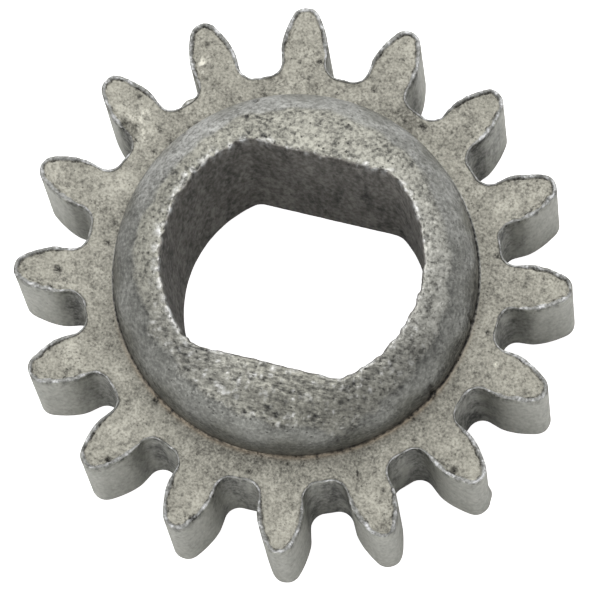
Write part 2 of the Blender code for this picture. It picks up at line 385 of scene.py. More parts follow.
def buildGear():
    store = PointStore()
    ring = toothedRing()
    foot, side, tip = fineness["root"], fineness["flank"], fineness["tip"]
    faces = []

    # flanks from the back edge up, then over the raised rim to the toothed face
    lowest = gear["backBreak"]
    steps = shares(fineness["flankRows"]) ** fineness["flankCrowding"]
    section = [(lowest, 0.0, "back", 0.0), (lowest * 0.3, lowest * 0.3, "flank", 0.0)]
    levels = between((lowest, gear["faceWidth"] - rim["flankTop"]), steps[:-1])
    section += [(0.0, level, "flank", 0.0) for level in levels]
    ground = np.stack([ring.real, ring.imag, 0 * ring.real], axis=-1)
    outward = 1j * (np.roll(ring.ravel(), 1) - np.roll(ring.ravel(), -1)).reshape(ring.shape)
    outward = outward / np.abs(outward)
    far = smoothStep(*rim["farSide"], -(outward.real * nearSide[0] + outward.imag * nearSide[1]))
    chipFrom, chipDepth = rim["chips"]
    chips = np.minimum(noiseAt(ground, "rimChips") + chipFrom, 0) * chipDepth
    edge = (rim["outerBase"] + noiseAt(ground, "rimOuter")) * rim["outerWander"]
    wander = noiseAt(ground, "rimInner") * rim["innerWander"]
    land = between(rim["land"], far) + wander * between(rim["innerCalm"], far)
    bevel = between(rim["bevel"], far) * (1 + rim["bevelVaries"] * noiseAt(ground, "rimBevel"))
    # the rim fades in the tooth spaces
    onTooth = smoothStep(rootRadius + rim["fade"][0], rootRadius + rim["fade"][1], np.abs(ring))
    onTooth = between((rim["inSpaces"], 1), onTooth)
    land, bevel = land * between((rim["landInSpaces"], 1), onTooth), bevel * onTooth
    top = gear["faceWidth"] + chips - gear["rimHeight"] * rim["sunkInSpaces"] * (1 - onTooth)
    groove = rim["groove"] * (rim["grooveBase"] + noiseAt(ground, "rimGroove")) * onTooth
    # painted shade: the rim's crevice and bevel are darkened, more on far edges and less in the tooth spaces
    base, contrast = rim["bevelShade"]
    bevelShade = cloudy(noiseAt(ground, "rimShade"), (between(base, far), between(contrast, far), 1))
    bevelShade = bevelShade * between((rim["bevelShadeInSpaces"], 1), onTooth)
    dull = cloudy(noiseAt(ground, "rimDull"), rim["dull"]) * between(rim["dullCalm"], far)
    drop, varies = rim["corner"]
    # inset, height, zone and darkening of each row over the rim: dirt on the edge, painted shade in the
    # crevice
    section += [
        (0.0, top - (drop + varies * noiseAt(ground, "rimCorner")), "flank", 0.9 * dull),
        (0.01 * mm + edge, top - 0.03 * mm, "rim", 0.6 * dull),
        (0.05 * mm + edge, top, "rim", 0.45 * dull),
        (land, top - 0.01 * mm, "rim", 0.25 * bevelShade * far),
        (land + bevel * 0.55, faceLevel + 0.05 * mm * onTooth, "crevice", bevelShade * between((0.6, 0.9), far)),
    ]
    rings = [store.keep(inset(ring, depth), level, zone, rimDirtAndShade) for depth, level, zone, rimDirtAndShade in section]
    lowPoint = softened(inset(ring, land + bevel * 0.82), 1)
    rings.append(store.keep(lowPoint, faceLevel - groove, "crevice", bevelShade))
    edgeFlat = softened(inset(ring, land + bevel), 2)
    rings.append(store.keep(edgeFlat, faceLevel, "face"))
    faces.append(closedQuads(np.stack([numbers.ravel() for numbers in rings])))

    # each tooth's face is a patch stretched between its two flanks, its tip and its foot
    edge = rings[-1]
    rising = np.arange(foot, foot + side + 1)
    falling = rising[::-1] + side + tip
    crown = np.arange(foot + side, foot + side + tip + 1)
    across = shares(tip)[None, None, :]
    along = shares(side)[None, :, None]
    left, right = edgeFlat[:, rising][:, :, None], edgeFlat[:, falling][:, :, None]
    # between the flanks, then bent so that the last row follows the tip
    patch = between((left, right), across)
    patch = patch + (edgeFlat[:, crown][:, None, :] - patch[:, -1:]) * along
    tooth = np.zeros(patch.shape, dtype=np.int64)
    tooth[:, :-1, 1:-1] = store.keep(patch[:, :-1, 1:-1], faceLevel, "face")
    tooth[:, :, 0], tooth[:, :, -1] = edge[:, rising], edge[:, falling]
    tooth[:, -1, :] = edge[:, crown]
    faces.append(openQuads(tooth[:, ::-1, :]))

    # the ring of face between the teeth and the hub
    after = foot + side * 2 + tip
    outer = np.concatenate([edge[:, :foot + 1], tooth[:, 0, 1:-1], edge[:, after:]], axis=1)
    outerFlat = np.concatenate([edgeFlat[:, :foot + 1], patch[:, 0, 1:-1], edgeFlat[:, after:]], axis=1)
    outer, outerFlat = outer.ravel(), outerFlat.ravel()
    columns = outer.size
    turns = np.arange(columns) * 2 * math.pi / columns
    spokes = np.exp(1j * turns)
    fillet = gear["wallFillet"]
    inner = hubMiddle + (gear["wallRadius"] + fillet) * spokes
    ringFlat = between((outerFlat, inner), shares(fineness["faceRows"])[1:, None])
    rows = [outer] + list(store.keep(ringFlat, faceLevel, "face"))

    def around(zone, radius, level):
        rows.extend(store.keep(hubMiddle + radius * spokes, level, zone))

    # hub: base fillet, short wall and dome, in to the mouth of the bore
    bend = math.pi / 2 * shares(fineness["filletRows"])[1:, None]
    around("hub", gear["wallRadius"] + fillet * (1 - np.sin(bend)), faceLevel + fillet * (1 - np.cos(bend)))
    steps = shares(fineness["wallRows"])[1:-1, None]
    around("hub", gear["wallRadius"] + 0 * steps, faceLevel + fillet + gear["wallHeight"] * steps)
    mouth = boreWall(turns, 1)
    for _ in range(3):  # the bore's width and the dome's height at its mouth depend on each other
        mouth = boreWall(turns, hubDome(1, mouth)[1] / gear["fullHeight"])
    lipLine = np.stack([(mouth * spokes).real, (mouth * spokes).imag, 0 * turns], axis=-1)
    calm, direction = gear["calmLip"]
    calm = calm * smoothStep(*gear["calmReach"], np.cos(turns - math.radians(direction)))
    wander = noiseAt(lipLine, "mouth") * gear["raggedLip"] * (1 - calm)
    mouth = mouth + wander
    lip = gear["lipRounding"]
    domeShare = shares(fineness["domeRows"])[:, None] ** fineness["domeCrowding"]
    around("hub", *hubDome(domeShare, (mouth + lip)[None, :]))

    # bore: a small rounding at the lip, then down the tapered double-D to the back
    bend = np.array(fineness["lipShares"])[:, None] * math.pi / 2
    lipTop = hubDome(1, mouth + lip)[1]
    around("bore", mouth + lip * (1 - np.sin(bend)), lipTop - lip * (1 - np.cos(bend)))
    down = shares(fineness["boreRows"])[:, None]
    level = np.maximum((lipTop - lip) * (1 - down ** fineness["boreCrowding"]), 0)
    wall = boreWall(turns, level / gear["fullHeight"]) + wander * (1 - down) ** gear["lipFade"]
    around("bore", wall, level)

    # back: rings from the bore out to the teeth, then one strip and two end faces for each tooth
    backEdge, backFlat = rings[0], inset(ring, gear["backBreak"])
    footLine = between((backFlat[:, rising[:1]], backFlat[:, falling[:1]]), across[0])
    toothAxis = np.exp(1j * (np.arange(gear["teeth"]) + 0.5) * pitchAngle)[:, None]
    footLine = footLine - toothAxis * gear["footBow"] * 4 * across[0] * (1 - across[0])
    footNumbers = store.keep(footLine[:, 1:-1], 0.0, "back")
    outerBack = np.concatenate([backEdge[:, :foot + 1], footNumbers, backEdge[:, after:]], axis=1).ravel()
    outerBackFlat = np.concatenate([backFlat[:, :foot + 1], footLine[:, 1:-1], backFlat[:, after:]], axis=1)
    boreEnd = hubMiddle + wall[-1] * spokes
    backRows = between((boreEnd, outerBackFlat.ravel()), shares(fineness["backRows"])[1:-1, None])
    rows.extend(store.keep(backRows, 0.0, "back"))
    rows.append(outerBack)
    faces.append(closedQuads(np.stack(rows)))

    ladder = np.stack([backEdge[:, rising[1:-1]], backEdge[:, falling[1:-1]]], axis=2)
    faces.append(openQuads(ladder))
    footEnds = backEdge[:, rising[:2]][:, ::-1], backEdge[:, falling[:2]]
    footFace = np.concatenate([footEnds[0], footNumbers, footEnds[1]], axis=1)
    tipEnds = backEdge[:, rising[-2:-1]], backEdge[:, falling[-2:-1]]
    tipFace = np.concatenate([tipEnds[0], backEdge[:, crown], tipEnds[1]], axis=1)
    polygons = [list(face) for face in footFace] + [list(face)[::-1] for face in tipFace]
    return store, np.concatenate(faces), polygons


def boreWall(turns, share):
    # the double-D's distance at a share of the height: it widens evenly from the back to the hub
    wide = gear["wideSide"] * (1 - share) * smoothStep(*gear["wideReach"], np.cos(turns))
    radius = between(gear["boreRadius"], share) + wide
    return doubleD(turns, radius, between(gear["flatDistance"], share), gear["boreCorner"])


def pointNormals(places, quads):
    # each face adds the cross product of its diagonals to its four corners
    cross = np.cross(places[quads[:, 2]] - places[quads[:, 0]], places[quads[:, 3]] - places[quads[:, 1]])
    total = np.zeros_like(places)
    for corner in range(4):
        for axis in range(3):
            total[:, axis] += np.bincount(quads[:, corner], weights=cross[:, axis], minlength=len(places))
    length = np.linalg.norm(total, axis=1)
    return total / np.maximum(length, 1e-20)[:, None]


# where the zones of wear and of painted light and shade lie
layout = {
    "near": (-0.1, 0.8),  # cosines from the side's edge to the middle of the side that faces the viewer
    "left": (0.2, 0.9),  # the same for the -X side
    "markHeight": (8.3 * mm, 9.0 * mm),  # pits and hollows are on the upper side, above this
    "borderWander": 0.30 * mm,  # of the borders between zones
    "crownEdge": 9.05 * mm,  # where the rough crown of the hub ends and its smooth shoulder begins
    "crownBulge": (0.95 * mm, -60.0, 38.0),  # it reaches further out about this direction, in degrees
    "crownFade": 0.20 * mm,
    "lip": (0.14 * mm, 0.40 * mm),  # the lip's bare metal and painted highlight fade out between these distances from the mouth
    "lipWidens": (0.35, 0.5),  # share by which it is wider at the left, and narrower at the near side
    "lipWander": 0.14 * mm,
    "lipTop": (13.75 * mm, 13.95 * mm),
    "wallTop": 11.45 * mm,  # height where the painted shade on the hub's wall ends
    "wallFade": 0.25 * mm,
    "drawnOut": (1, 1, 0.45),  # patterns on upright walls are stretched along the bore
    "flow": (0.38, 1.1, 1.0),  # and the ridges along the near flat are stretched along X
}

# heights of the relief
surface = {
    "faceGrain": 0.014 * mm, "faceWaves": 0.020 * mm, "facePits": 0.035 * mm,
    "crownGrain": 0.0144 * mm, "crownStep": 0.03 * mm, "crownPits": 0.06 * mm,
    "nearRidges": 0.0176 * mm, "nearBeads": 0.0308 * mm, "nearPits": 0.5,  # pits are shallower by this
    "burr": 0.06 * mm, "burrBase": 0.2, "nearBurr": 0.6,
    "shoulderGrain": 0.010 * mm,
    "rimGrain": 0.024 * mm, "rimFlakes": 0.022 * mm,
    "flankGrain": 0.006 * mm,
    "boreGrain": 0.018 * mm, "borePits": 0.036 * mm,
    "pitShares": (0.8, 0.8, 0.9),  # of small pits on the crown, and of large and small ones on the face
}

# strengths of the dirt and of painted shade, from 0 to 1: dirt lies in pits and in clouds; painted shade
# darkens the tooth roots (with stains), the foot of the hub, its wall, shoulder and near side, and the face
# round it
dirtAndShading = {
    "facePits": 0.8, "crownPits": 0.9, "nearPits": 0.4, "borePits": 0.7,
    # the tooth roots are darkened by stains and by painted shade
    "boreStains": (-0.075, 0.75, 0.75), "rootStainsAndShade": (0.56, 0.55, 0.9), "faceClouds": (0.01, 0.20, 0.20),
    "rootFade": (0.2 * mm, 2.4 * mm),  # distances from the root circle
    "nearCrown": (0.359, 0.22, 0.20), "nearLimits": (0.03, 0.55),  # painted shade on the near crown: base, less on ridges, less on beads
    "nearBand": (0.22, 0.65 * mm, 0.35 * mm),  # painted shade in a band round the near mouth of the bore: strength, distance from the mouth and half width
    # painted shade along the crown's outer edge, stronger on the near side
    "crownRing": (0.6, 0.8, 1.0), "ringPlace": (0.12 * mm, 0.22 * mm), "ringShare": (0.12, 0.52),
    # painted shade on the hub's wall, more on the far side and the sides, and on the shoulder's sides
    "wall": 0.34, "wallFar": 0.10, "wallSides": 0.18, "shoulderSides": (0.25, 0.03),
    # painted shade at the foot of the hub and on the face round it
    "hubFoot": (0.35, 0.06 * mm, 0.14 * mm), "footRing": 0.18, "footReach": 3.2 * mm, "footBand": 0.7 * mm,
}

# strengths of worn bare metal and of painted highlights and light
brightness = {
    "lip": (0.45, 0.15, -0.12, 1.3, 0.85),  # worn burr metal with painted highlight: at the left, at the near side, base, on beads, and the limit
    # worn rim with painted glints, and a share of them in the crevice
    "rim": (-0.30, 2.6, 0.8), "creviceShare": 0.3,
    "nearCrown": (1.3, 1.8, -1.40, 0.9),  # painted highlights on the near crown: on ridges, on glints, base and limit
    "face": (-0.024, 0.24, 0.24),
    # painted light on the far side of the shoulder
    "shoulder": 0.16, "shoulderSide": (-0.1, 0.8),
}
rustLines = {"hub": (0.03 * mm, 0.08 * mm), "face": 0.12 * mm}

# marks on this gear, in millimetres from the middle of the teeth
marks = {
    # x, y, radius and depth
    "pits": [(11.89, -8.84, 0.24, 0.20), (1.86, 12.10, 0.20, 0.16), (-7.80, -12.93, 0.20, 0.14),
             (0.35, -11.69, 0.18, 0.15), (-1.63, 13.01, 0.16, 0.12), (-2.77, 12.74, 0.15, 0.10),
             (-4.41, 9.20, 0.22, 0.20), (-13.46, -2.71, 0.36, 0.05), (-11.40, 8.50, 0.20, 0.10),
             (-9.75, 6.84, 0.24, 0.14), (-9.82, 5.55, 0.20, 0.12), (-2.73, -11.15, 0.20, 0.12),
             (-5.95, -8.88, 0.24, 0.14), (10.77, -0.16, 0.16, 0.12), (11.85, -0.49, 0.20, 0.10),
             (9.64, -4.83, 0.22, 0.12), (6.52, -10.32, 0.16, 0.08), (8.17, -10.95, 0.15, 0.08),
             (5.20, 10.61, 0.24, 0.10), (-4.54, 7.92, 0.18, 0.14), (-8.01, 6.32, 0.17, 0.12),
             (-2.10, -15.20, 0.30, 0.08), (-11.08, -0.47, 0.18, 0.08), (11.26, 4.10, 0.20, 0.07),
             (-11.88, 6.26, 0.20, 0.16), (-11.54, 5.97, 0.22, 0.18), (-11.29, 5.24, 0.24, 0.12),
             (-11.04, 5.90, 0.17, 0.12)],
    "pitStyle": (1.15, 1.5, 1.3),  # share by which the radius grows, steepness, and dirt
    # x, y, half length, half width, direction in degrees, and depth, which is negative for a raised place
    "hollows": [(-11.53, 6.50, 0.66, 0.50, 140.0, 0.34), (-11.42, 7.16, 0.72, 0.26, 165.0, -0.10)],
    "hollowStyle": (0.40, 1.1, 0.55),  # painted shade inside and at the outline, and painted highlight on a raised place
    # x, y, height above the back, radius and how far it stands out
    "bulges": [(-12.52, 6.05, 7.9, 0.60, 0.22), (-8.63, 10.02, 8.8, 0.45, 0.12),
               (-8.45, 8.75, 8.8, 0.50, 0.20), (13.75, -8.20, 1.5, 0.50, 0.16)],
    # x, y, radius of the patch and how full of painted glints it is
    "glints": [(12.76, -2.23, 0.26, 0.9), (-8.26, 11.25, 0.60, 0.28), (5.78, -6.58, 0.24, 0.8),
               (-10.95, 6.85, 1.15, 0.12)],
    "glintContrast": 2.4,
    # x, y, radius and darkness of stained places on the flanks
    "stains": [(8.41, 11.03, 2.0, 0.42), (3.86, 13.00, 1.2, 0.30), (-12.49, -4.00, 0.5, 0.6),
               (-11.95, 5.75, 0.9, 0.55)],
}


def closeness(places, x, y, radius):
    # 1 at a mark's middle and 0 at its edge, as (1 - d^2/r^2)
    apart = np.hypot(places[:, 0] / mm - x, places[:, 1] / mm - y) / radius
    return np.clip(1 - apart ** 2, 0, 1)


# how painted light and shade are spread round the hub: direction and half width in degrees, and strength
paintedLightRoundHub = {
    "shoulderDark": [(57, 24, 0.15), (-125, 25, 0.18), (-8, 22, 0.10)],
    "shoulderLight": [(147, 25, 0.26)],
    "crownDark": [(101, 20, 0.15)],
    "crownLight": [(4, 44, 0.27), (-125, 25, 0.14)],
    "footDark": [(-92, 18, 0.30), (-3, 18, -0.16)],
    "footRing": [(0, 35, -0.15), (-68, 40, 0.20)],
}


def roundTheHub(at, name):
    # the sum of the bell curves of one list, at each direction
    total = 0 * at.turned
    for middle, width, strength in paintedLightRoundHub[name]:
        total += strength * bell((at.turned - middle + 180) % 360 - 180, 0, width)
    return total


def wearAndShadePlaces(places, zone):
    # what relief, wear, dirt and painted light and shade depend on at each point: its zone, its place and
    # the random patterns there
    at = SimpleNamespace(places=places, height=places[:, 2])
    for name in ("face", "rim", "flank", "hub", "bore", "crevice"):
        setattr(at, name, zone == zones[name])
    fromAxis = places[:, 0] - hubMiddle.real, places[:, 1] - hubMiddle.imag
    at.fromHub, at.angle = np.hypot(*fromAxis), np.arctan2(fromAxis[1], fromAxis[0])
    at.turned = np.degrees(at.angle)
    at.fromTeeth = np.hypot(places[:, 0], places[:, 1])
    facing = (places[:, 0] * nearSide[0] + places[:, 1] * nearSide[1]) / np.maximum(at.fromTeeth, mm)
    at.near = smoothStep(*layout["near"], facing)
    at.left = smoothStep(*layout["left"], -np.cos(at.angle))
    at.upper = smoothStep(*layout["markHeight"], at.height)
    for name in ("grain", "coarse", "beads", "glints"):
        setattr(at, name, noiseAt(places, name))
    at.onWall = places * layout["drawnOut"]
    at.wallGrain = noiseAt(at.onWall, "wallGrain")
    at.ridges = 1 - 2 * np.abs(noiseAt(places * layout["flow"], "flow"))
    holes = {name: pits(at.onWall if name == "wall" else places, *pitFields[name]) for name in pitFields}
    at.wallHoles = holes["wall"]
    crownSmall, faceLarge, faceSmall = surface["pitShares"]
    at.hollow = np.clip(holes["crown"] + crownSmall * holes["small"], 0, 1)
    at.faceHollow = np.clip(faceLarge * holes["face"] + faceSmall * holes["small"], 0, 1)
    at.wander = layout["borderWander"] * noiseAt(places, "border")
    more, middle, width = layout["crownBulge"]
    at.pastCrown = at.fromHub + at.wander - layout["crownEdge"] - more * bell(at.turned, middle, width)
    at.crown = at.hub * (1 - smoothStep(-layout["crownFade"], layout["crownFade"], at.pastCrown))
    at.shoulder = at.hub - at.crown
    at.toMouth = at.fromHub - boreWall(at.angle, at.height / gear["fullHeight"])
    wider, narrower = layout["lipWidens"]
    reach = at.toMouth * (1 - wider * at.left + narrower * at.near) + layout["lipWander"] * at.grain
    at.lip = at.hub * (1 - smoothStep(*layout["lip"], reach))
    at.lip = at.lip + at.bore * smoothStep(*layout["lipTop"], at.height)
    return at


def relief(at):
    # how far each point moves along its own normal
    nearCrown = at.crown * at.near
    waves, flakes = noiseAt(at.places, "faceWaves"), noiseAt(at.places, "rimFlakes")
    shape = at.face * (surface["faceGrain"] * at.grain + surface["faceWaves"] * waves)
    shape -= at.face * surface["facePits"] * at.faceHollow
    shape += at.crown * (surface["crownGrain"] * (at.grain + at.coarse) + surface["crownStep"])
    shape += nearCrown * (surface["nearRidges"] * at.ridges + surface["nearBeads"] * at.beads)
    shape -= at.crown * surface["crownPits"] * at.hollow * (1 - surface["nearPits"] * at.near)
    burr = surface["burr"] * (surface["burrBase"] + at.beads) * (1 - surface["nearBurr"] * at.near)
    shape += at.lip * at.hub * burr + at.shoulder * surface["shoulderGrain"] * at.coarse
    shape += at.rim * (surface["rimGrain"] * at.grain + surface["rimFlakes"] * flakes)
    shape += at.flank * surface["flankGrain"] * at.wallGrain
    shape += at.bore * (surface["boreGrain"] * at.wallGrain - surface["borePits"] * at.wallHoles)
    return shape


def dirtAndShadeOn(at, rimDirtAndShade):
    # dirt in pits and clouds, and painted shade on the rim, the near crown, round the hub and in the tooth
    # roots
    dirtAndShade = rimDirtAndShade + at.face * dirtAndShading["facePits"] * at.faceHollow
    dirtAndShade += at.bore * dirtAndShading["borePits"] * at.wallHoles
    dirtAndShade += at.crown * dirtAndShading["crownPits"] * at.hollow * (1 - dirtAndShading["nearPits"] * at.near)
    # painted shade on the near side of the crown, less on its ridges and beads
    base, onRidges, onBeads = dirtAndShading["nearCrown"]
    flow = np.clip(base - onRidges * at.ridges - onBeads * at.beads, *dirtAndShading["nearLimits"])
    dirtAndShade += at.crown * at.near * flow
    # painted shade in a band round the near mouth of the bore
    strength, middle, width = dirtAndShading["nearBand"]
    dirtAndShade += at.crown * at.near * strength * bell(at.toMouth, middle, width)
    # painted shade along the crown's edge, stronger on the near side
    ring = bell(at.pastCrown, *dirtAndShading["ringPlace"]) * between(dirtAndShading["ringShare"], at.near)
    dirtAndShade += at.hub * ring * cloudy(at.coarse, dirtAndShading["crownRing"])
    # painted shade on the crown and shoulder, by direction round the hub
    dirtAndShade += at.crown * roundTheHub(at, "crownDark") + at.shoulder * roundTheHub(at, "shoulderDark")
    # the upright walls: tooth roots (stains and painted shade), bore (stains) and hub (painted shade on its
    # wall and shoulder)
    fade = rootRadius + dirtAndShading["rootFade"][0], rootRadius + dirtAndShading["rootFade"][1]
    stained = cloudy(noiseAt(at.onWall, "rootStainsAndShade"), dirtAndShading["rootStainsAndShade"])
    dirtAndShade += at.flank * (1 - smoothStep(*fade, at.fromTeeth)) * stained
    dirtAndShade += at.bore * cloudy(noiseAt(at.onWall, "boreStains"), dirtAndShading["boreStains"])
    # painted shade on the hub's wall below its top, and on the shoulder's sides
    aside = np.cos(at.angle)
    low = 1 - smoothStep(-layout["wallFade"], layout["wallFade"],
                         at.height + 0.6 * at.wander - layout["wallTop"])
    wall = dirtAndShading["wall"] + dirtAndShading["wallFar"] * (1 - at.near) + dirtAndShading["wallSides"] * aside ** 2
    base, lessRight = dirtAndShading["shoulderSides"]
    dirtAndShade += at.shoulder * (low * wall + (base - lessRight * aside) * aside ** 4)
    # painted shade along the foot of the hub
    strength, above, width = dirtAndShading["hubFoot"]
    dirtAndShade += at.hub * strength * bell(at.height, faceLevel + above, width)
    # the face: painted shade round the foot of the hub, and dirt in clouds
    fromWall = at.fromHub - gear["wallRadius"]
    reach = 1 - smoothStep(0.0, dirtAndShading["footReach"], fromWall + 0.5 * at.wander)
    dirtAndShade += at.face * reach * (dirtAndShading["footRing"] + roundTheHub(at, "footRing"))
    dirtAndShade += at.face * bell(fromWall, 0, dirtAndShading["footBand"]) * roundTheHub(at, "footDark")
    return dirtAndShade + at.face * cloudy(noiseAt(at.places, "faceClouds"), dirtAndShading["faceClouds"])


def wearAndHighlightOn(at):
    # bare metal with painted highlights at the mouth of the bore and on the rim, painted glints on the
    # crown's ridges and on single grains, and painted light on the crown and shoulder round the hub
    # worn metal on the lip's burr, with painted highlight stronger at the left and near side
    atLeft, atNear, base, onBeads, most = brightness["lip"]
    wearAndHighlight = at.lip * np.clip(atLeft * at.left + atNear * at.near + base + onBeads * at.beads, 0, most)
    # painted light on the crown and shoulder, by direction round the hub
    wearAndHighlight += at.crown * roundTheHub(at, "crownLight") + at.shoulder * roundTheHub(at, "shoulderLight")
    # worn metal on the rim, broken into painted glints
    rubbedAndGlinting = at.rim + brightness["creviceShare"] * at.crevice
    wearAndHighlight += rubbedAndGlinting * cloudy(noiseAt(at.places, "rimWearAndGlints"), brightness["rim"])
    # painted highlights on the near crown's ridges and glints
    onRidges, onGlints, base, most = brightness["nearCrown"]
    wearAndHighlight += at.crown * at.near * np.clip(onRidges * at.ridges + onGlints * at.glints + base, 0, most)
    wearAndHighlight += at.face * cloudy(noiseAt(at.places, "faceShine"), brightness["face"])
    # painted light on the far side of the shoulder
    lit = smoothStep(*brightness["shoulderSide"], np.sin(at.angle))
    return wearAndHighlight + at.shoulder * brightness["shoulder"] * lit * (1 + at.coarse)


def rustOn(at):
    above, width = rustLines["hub"]
    rust = at.hub * bell(at.height, faceLevel + above, width)
    foot = gear["wallRadius"] + gear["wallFillet"]
    return at.near * (rust + at.face * bell(at.fromHub, foot, rustLines["face"]))


def roughen(places, zone, rimDirtAndShade, normals):
    # every zone moves along its own normals by its relief, and the single marks come last
    at = wearAndShadePlaces(places, zone)
    shape, dirtAndShade, wearAndHighlight = relief(at), dirtAndShadeOn(at, rimDirtAndShade), wearAndHighlightOn(at)
    wider, steepness, pitDirt = marks["pitStyle"]
    for x, y, radius, depth in marks["pits"]:
        bowl = closeness(places, x, y, radius * wider) ** steepness * at.upper
        shape -= bowl * depth * mm
        dirtAndShade += bowl * pitDirt
    for x, y, z, radius, height in marks["bulges"]:
        inReach = np.clip(1 - ((at.height / mm - z) / (2 * radius)) ** 2, 0, 1)
        shape += at.flank * closeness(places, x, y, radius) * inReach * height * mm
    for x, y, radius, darkness in marks["stains"]:
        dirtAndShade += at.flank * closeness(places, x, y, radius) * darkness * (1 + at.coarse)
    # painted glints in patches
    for x, y, radius, amount in marks["glints"]:
        sparkle = np.clip(marks["glintContrast"] * at.glints + amount, 0, 1)
        wearAndHighlight += closeness(places, x, y, radius) * sparkle * at.upper
    moved = places + normals * shape[:, None]
    inside, outline, raised = marks["hollowStyle"]
    for x, y, halfLength, halfWidth, turn, depth in marks["hollows"]:
        offset = (places[:, 0] / mm - x + 1j * (places[:, 1] / mm - y)) * np.exp(-1j * math.radians(turn))
        bowl = np.clip(1 - np.hypot(offset.real / halfLength, offset.imag / halfWidth) ** 2, 0, 1)
        bowl = bowl * at.upper * (1 - at.hub)
        moved[:, 2] -= bowl * depth * mm
        sunk = bowl * (depth > 0)
        # painted shade in the hollow and at its outline, and painted highlight on a raised place
        dirtAndShade = dirtAndShade * (1 - bowl) + inside * sunk + outline * sunk * (1 - sunk)
        wearAndHighlight = wearAndHighlight * (1 - sunk) + raised * bowl * (depth < 0)
    # values that the materials read as attributes; "dragged" is where marks are drawn out
    fields = {"crown": at.crown, "dragged": at.flank + at.bore + at.crown * at.near}
    for name, values in (("dirtAndShade", dirtAndShade), ("wearAndHighlight", wearAndHighlight), ("rust", rustOn(at))):
        fields[name] = np.clip(values, 0, 1)
    return moved, fields


def gearObject():
    store, quads, polygons = buildGear()
    places, zone, rimDirtAndShade = (np.concatenate(parts) for parts in (store.places, store.zones, store.stains))
    places, fields = roughen(places, zone, rimDirtAndShade, pointNormals(places, quads))
    mesh = bpy.data.meshes.new("sinteredGear")
    mesh.from_pydata(places.tolist(), [], quads.tolist() + polygons)
    for name, values in fields.items():
        layer = mesh.attributes.new(name, "FLOAT", "POINT")
        layer.data.foreach_set("value", values.astype(np.float32))
    # each face takes the finish of the highest zone at its corners, and the polygons lie on the back
    finish = np.full(len(quads) + len(polygons), finishOfZone[zones["back"]], dtype=np.int32)
    finish[:len(quads)] = finishOfZone[zone[quads].max(axis=1)]
    mesh.polygons.foreach_set("material_index", finish)
    mesh.shade_smooth()
    mesh.update()
    piece = newObject("sinteredGear", mesh)
    triangles = len(quads) * 2 + sum(len(polygon) - 2 for polygon in polygons)
    print("gear:", len(places), "points,", triangles, "triangles")
    return piece


# finishes in the order of the slots below: face, hub, flank, back, bore and rim
finishOfZone = np.array([0, 0, 5, 2, 1, 4, 3])

piece = gearObject()


def newGroup(name, inputs, outputs):
    group = bpy.data.node_groups.new(name, "ShaderNodeTree")
    for label, value in inputs.items():
        socket = group.interface.new_socket(name=label, in_out="INPUT", socket_type="NodeSocketFloat")
        socket.default_value = value
    for label in outputs:
        group.interface.new_socket(name=label, in_out="OUTPUT", socket_type="NodeSocketFloat")
    return group, group.nodes.new("NodeGroupInput"), group.nodes.new("NodeGroupOutput")


def addNode(tree, kind, settings=None, values=None):
    node = tree.nodes.new(kind)
    for name, value in (settings or {}).items():
        setattr(node, name, value)
    for name, value in (values or {}).items():
        node.inputs[name].default_value = value
    return node


def join(tree, *pairs):
    for start, end in pairs:
        tree.links.new(start, end)


def blend(tree, first, second, factor):
    # first * (1 - factor) + second * factor
    mix = addNode(tree, "ShaderNodeMix", {"data_type": "FLOAT"})
    if isinstance(factor, float):
        mix.inputs[0].default_value = factor
    else:
        join(tree, (factor, mix.inputs[0]))
    join(tree, (first, mix.inputs[2]), (second, mix.inputs[3]))
    return mix.outputs[0]


def stretchedPlace(group, entry):
    # object coordinates with each axis scaled by the group's own inputs: a small number draws the marks out
    place = addNode(group, "ShaderNodeTexCoord")
    squeeze = addNode(group, "ShaderNodeCombineXYZ")
    scaled = addNode(group, "ShaderNodeVectorMath", {"operation": "MULTIPLY"})
    for axis in "XYZ":
        join(group, (entry.outputs[axis], squeeze.inputs[axis]))
    join(group, (place.outputs["Object"], scaled.inputs[0]), (squeeze.outputs[0], scaled.inputs[1]))
    return scaled.outputs[0]


def noiseTexture(tree, detail, roughness):
    return addNode(tree, "ShaderNodeTexNoise", values={"Detail": detail, "Roughness": roughness})


def mapRange(tree, ends, results, settings=None):
    return addNode(tree, "ShaderNodeMapRange", settings,
                   {"From Min": ends[0], "From Max": ends[1], "To Min": results[0], "To Max": results[1]})


def mathNode(tree, operation, first, second, clamped=False):
    # each of the two is a socket or a number
    node = addNode(tree, "ShaderNodeMath", {"operation": operation, "use_clamp": clamped})
    for value, socket in zip((first, second), node.inputs):
        if isinstance(value, float):
            socket.default_value = value
        else:
            join(tree, (value, socket))
    return node.outputs[0]


# shares of patches and grains in the powder's tone, and of grains in its height
powderMix = {"patches": 0.55, "grains": 0.55, "heightGrains": 0.65}
grainTones = (0.38, 0.60)  # tones of a dark and of a light grain


